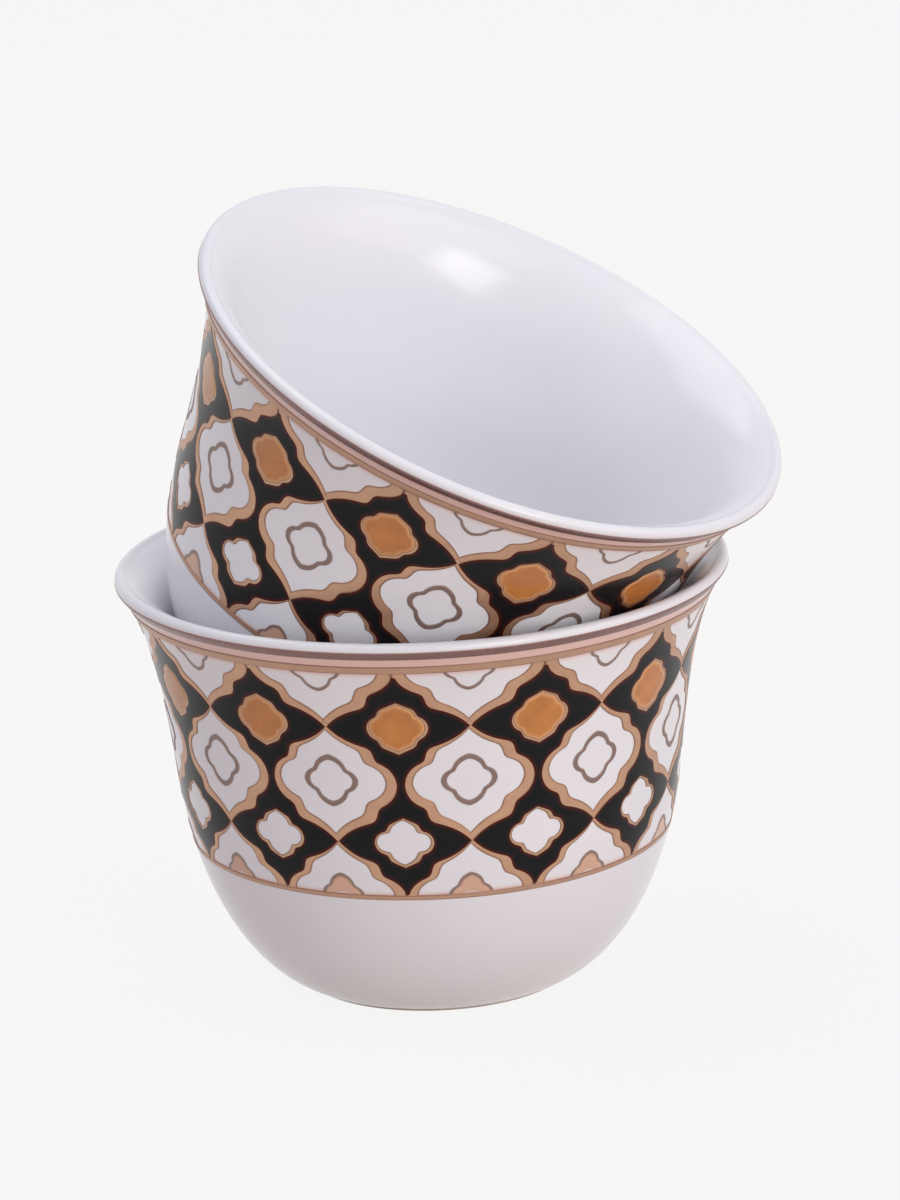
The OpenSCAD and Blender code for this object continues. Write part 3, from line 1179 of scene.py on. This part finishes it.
@dataclass(frozen=True)
class CoffeeCup:
    """One cup: its porcelain and glaze, and the layers of its printed band."""

    cup: Cup
    section: CupSection
    lattice: Lattice
    place: CupPlace
    lip_line_h: float = 47.8
    lip_line_w: float = 1.0
    band_top_line_h: float = 45.85
    band_top_line_w: float = 0.95
    band_foot_line_w: float = 0.6
    line_t: float = 0.09
    line_segments: int = 360
    line_shares: tuple[float, ...] = (-0.5, -0.5, -0.44, -0.25, 0, 0.25, 0.44, 0.5, 0.5)
    line_rise_shares: tuple[float, ...] = (-0.4, 0.4, 0.85, 1, 1, 1, 0.85, 0.4, -0.4)

    def dress(self, layer: str, sheets: list[Sheet], material: Material,
              node: str | None) -> None:
        """Makes one layer as a piece that moves with the cup and stands for its solid.

        Args:
            layer: What the layer is.
            sheets: Its grids.
            material: Its finish.
            node: The solid that it stands for, without the cup's name, or None.
        """
        piece = make_piece(f"{self.cup.value}_{layer}_finish", sheets, self.place, material)
        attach(piece, self.cup.value)
        if node is not None:
            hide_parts(f"{self.cup.value}_{node}")
        log.info("%s: %d faces", piece.name, len(piece.data.polygons))

    def line(self, middle: float, width: float) -> list[Sheet]:
        """A painted line round the cup: a low mound of gold on the wall, its section a loop.

        Args:
            middle: Height of the line's middle.
            width: The line's width.

        Returns:
            The grid of the line.
        """
        outside = self.section.printed_side()
        outwards = beside(outside, -1) - outside
        across = np.array(self.line_shares)
        height = middle + across * width
        wall, out = (np.stack([np.interp(height, outside[:, 1], column) for column in side.T], 1)
                     for side in (outside, outwards))
        loop = wall + self.line_t * np.array(self.line_rise_shares)[:, None] * out
        return [revolve(loop, (0.5 - np.abs(across)) * width, self.line_segments, looped=True)]

    def build(self, finishes: dict[str, Material]) -> None:
        """Builds every layer of the cup, from the porcelain out.

        Args:
            finishes: The materials by the names of the layers.
        """
        section, lattice = self.section, self.lattice
        run = run_along(section.glazed())
        coat = revolve(section.glaze_shell(), np.concatenate([run[::-1], run]))
        lip_line = self.line(self.lip_line_h, self.lip_line_w)
        top_line = self.line(self.band_top_line_h, self.band_top_line_w)
        foot_line = self.line(lattice.band_low_h, self.band_foot_line_w)
        for layer, sheets, finish, slot, node in (
                ("porcelain", [revolve(section.body())], "porcelain", "porcelain", "body"),
                ("glaze_coat", [coat, revolve(section.recess_shell())], "glaze", "clear_glaze", "glaze"),
                ("gold_outlines", lattice.outlines(), "outline", "gold", "figure_outlines"),
                ("small_rings", lattice.rings(), "ring", "grey_brown_lustre", "figure_rings"),
                ("medallion_gold", lattice.medallion_edges(), "medallion", "gold", "medallion_edges"),
                ("amber_fills", lattice.amber_fills(), "amber", "amber_enamel", "amber_medallions"),
                ("peach_fills", lattice.peach_fills(), "peach", "amber_enamel", None),
                ("black_figures", lattice.black_figures(), "black", "black_enamel", "black_enamel"),
                ("lip_gold", lip_line, "lip_line", "gold", "lip_line"),
                ("band_top_gold", top_line, "band_line", "gold", "band_top_line"),
                ("band_foot_gold", foot_line, "band_line", "gold", "band_foot_line")):
            self.dress(layer, sheets, finishes[finish], node)


def seen_rays(tree: Tree) -> Socket:
    """One for what the camera sees, straight or in a gloss or through glass, and nothing for light.

    Args:
        tree: The node tree.

    Returns:
        The socket with the one or nothing.
    """
    ray = add_node(tree, "LightPath").outputs
    seen = ray["Is Camera Ray"]
    for kind in ("Is Glossy Ray", "Is Transmission Ray"):
        seen = add_node(tree, "Math", {0: seen, 1: ray[kind]}, operation="MAXIMUM").outputs[0]
    return seen


def hang(thing: Thing, at: tuple[float, float, float], right: Array, back: Array) -> None:
    """Puts a camera or a lamp in the scene, looking away from its back.

    Args:
        thing: The camera or lamp.
        at: Where it is, in millimetres.
        right: The direction to its right.
        back: The direction behind it.
    """
    matrix = np.eye(4)
    matrix[:3, :3] = np.stack([right, np.cross(back, right), back], 1)
    matrix[:3, 3] = np.array(at) * MM
    thing.matrix_world = Matrix(matrix.tolist())
    bpy.context.scene.collection.objects.link(thing)


@dataclass(frozen=True)
class Softbox:
    """A square soft light that faces the cups: where it hangs, its side, its watts and its tint."""

    name: str
    at: tuple[float, float, float]
    size: float
    watts: float
    tint: str = "#FFFFFF"
    aim_h: float = 45.0

    def build(self) -> None:
        """Makes the lamp, level across and turned to a point between the cups."""
        data = bpy.data.lights.new(self.name, "AREA")
        data.size = self.size * MM
        data.energy = self.watts
        data.color = colour(self.tint)[:3]
        back = np.array(self.at) - np.array([0, 0, self.aim_h])
        back /= np.linalg.norm(back)
        right = np.cross([0, 0, 1], back)
        hang(bpy.data.objects.new(self.name, data), self.at, right / np.linalg.norm(right), back)


@dataclass(frozen=True)
class Studio:
    """A pale table under soft light, and a long lens at the photograph's angle."""

    pitch_deg: float = 16.18
    roll_deg: float = 2.49
    camera_at: tuple[float, float, float] = (0.2, -688.1, 242.6)
    clip: tuple[float, float] = (10.0, 20000.0)
    focal_px: float = 6270.0
    photo_h_px: float = 1200.0
    sensor_h: float = 36.0
    middle_off_px: Point = (25.0, 10.0)
    floor_half: float = 3000.0
    floor_colour: str = "#D6C2B8"
    table_white: str = "#FDFDFD"
    backdrop_colour: str = "#F8F8F8"
    floor_shadow: float = 0.1
    sky_colour: str = "#E8ECFC"
    sky_strength: float = 0.52
    lamps: tuple[Softbox, ...] = (
        Softbox("key_window", (400, -900, 175), 450, 2.8, "#FFFBF5"),
        Softbox("side_light", (760, -500, 420), 1200, 3.9, "#FFFCF8"),
        Softbox("top_light", (-230, 150, 860), 800, 2.6),
    )

    def camera(self) -> None:
        """Makes the camera, aimed so that the photograph's middle is the picture's middle."""
        pitch, roll = math.radians(self.pitch_deg), math.radians(self.roll_deg)
        ahead = np.array([0, math.cos(pitch), -math.sin(pitch)])
        level_up = np.array([0, math.sin(pitch), math.cos(pitch)])
        level_right = np.array([1.0, 0, 0])
        right = math.cos(roll) * level_right - math.sin(roll) * level_up
        up = math.sin(roll) * level_right + math.cos(roll) * level_up
        across, over = self.middle_off_px
        aim = self.focal_px * ahead + across * right + over * up
        aim /= np.linalg.norm(aim)
        side = np.cross(aim, up)
        data = bpy.data.cameras.new("camera")
        data.lens = self.focal_px / self.photo_h_px * self.sensor_h
        data.sensor_width = self.sensor_h
        data.clip_start, data.clip_end = np.array(self.clip) * MM
        camera = bpy.data.objects.new("camera", data)
        hang(camera, self.camera_at, side / np.linalg.norm(side), -aim)
        bpy.context.scene.camera = camera

    def floor(self) -> None:
        """Lays the table: white to the camera's eye but for the cups' shadow, pale to the cups."""
        reach = self.floor_half * MM
        mesh = bpy.data.meshes.new("table")
        corners = [(-reach, -reach, 0), (reach, -reach, 0), (reach, reach, 0), (-reach, reach, 0)]
        mesh.from_pydata(corners, [], [(0, 1, 2, 3)])
        material, tree = new_material("pale_table")
        lit = add_node(tree, "BsdfDiffuse", {"Color": colour(self.floor_colour)})
        white = add_node(tree, "Emission", {"Color": colour(self.table_white)})
        seen = add_node(tree, "Math",
                        {0: seen_rays(tree), 1: 1 - self.floor_shadow}, operation="MULTIPLY")
        both = add_node(tree, "MixShader",
                        {0: seen.outputs[0], 1: lit.outputs[0], 2: white.outputs[0]})
        add_node(tree, "OutputMaterial", {"Surface": both.outputs[0]})
        mesh.materials.append(material)
        table = bpy.data.objects.new("table", mesh)
        bpy.context.scene.collection.objects.link(table)

    def sky(self) -> None:
        """Fills the room with even light, and shows white behind the table."""
        world = bpy.data.worlds.new("studio")
        world.use_nodes = True
        tree = world.node_tree
        tree.nodes.clear()
        light = add_node(tree, "Background",
                         {"Color": colour(self.sky_colour), "Strength": self.sky_strength})
        white = add_node(tree, "Background",
                         {"Color": colour(self.backdrop_colour), "Strength": 1.0})
        both = add_node(tree, "MixShader",
                        {0: seen_rays(tree), 1: light.outputs[0], 2: white.outputs[0]})
        add_node(tree, "OutputWorld", {"Surface": both.outputs[0]})
        bpy.context.scene.world = world

    def build(self) -> None:
        """Sets up the camera, the table and the light."""
        self.camera()
        self.floor()
        self.sky()
        for lamp in self.lamps:
            lamp.build()
        bpy.context.scene.view_settings.view_transform = "Standard"


def main() -> None:
    """Builds the studio and both cups round the frame."""
    logging.basicConfig(level=logging.INFO, format="%(name)s: %(message)s")
    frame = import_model()
    Studio().build()
    section = CupSection()
    lip_h, top_h, foot_h = CoffeeCup.lip_line_h, Lattice.band_high_h, Lattice.band_low_h
    glaze = GlazedPorcelain(lip_run=section.run_at(lip_h), top_run=section.run_at(top_h),
                            foot_run=section.run_at(foot_h))
    finishes = {name: finish.material() for name, finish in (
        ("porcelain", BarePorcelain()), ("glaze", glaze), ("outline", OUTLINE_GOLD),
        ("ring", RING_LUSTRE), ("medallion", MEDALLION_GOLD), ("amber", AMBER), ("peach", PEACH),
        ("black", BLACK), ("lip_line", LIP_GOLD), ("band_line", BAND_GOLD))}
    for cup, turn in PRINT_TURN.items():
        place = CupPlace.from_frame(frame["nodes"], cup, foot_h, lip_h)
        log.info("%s stands at %s", cup.value, place.foot.round(3).tolist())
        CoffeeCup(cup, section, Lattice(section, turn), place).build(finishes)


if __name__ == "__main__":
    main()
